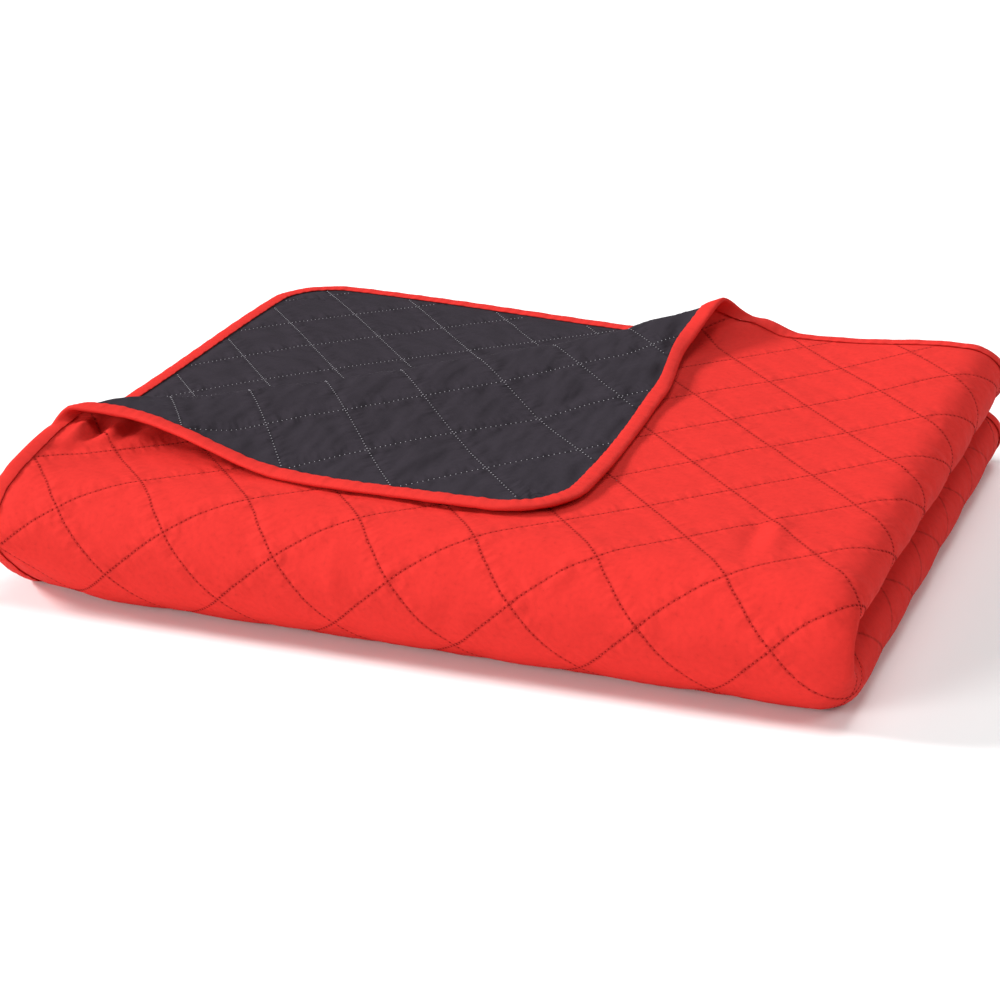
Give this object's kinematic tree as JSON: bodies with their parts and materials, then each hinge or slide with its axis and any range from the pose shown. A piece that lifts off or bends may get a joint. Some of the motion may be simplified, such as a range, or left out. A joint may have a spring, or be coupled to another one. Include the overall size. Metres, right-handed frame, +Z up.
{
  "type": "quilted bedspread",
  "caption": "Reversible diamond-quilted bedspread, folded in half twice into a soft package with one corner of the top layer turned back.",
  "frame": {"origin": "middle of the package's bounding box, on the surface that it lies on", "axes": "+X along the package, from the layers' free edges to the folded end; +Y from the round front fold to the free back edges; +Z up through the layers"},
  "size_m": [1.0362, 0.871, 0.1963],
  "materials": {
    "face_cloth": "bright red woven microfibre with a soft sheen",
    "backing_cloth": "matt anthracite woven microfibre",
    "binding_tape": "red woven binding tape"
  },
  "bodies": {
    "root": {"face_panel": "face_cloth", "backing_panel": "backing_cloth", "binding": "binding_tape"}
  },
  "joints": []
}
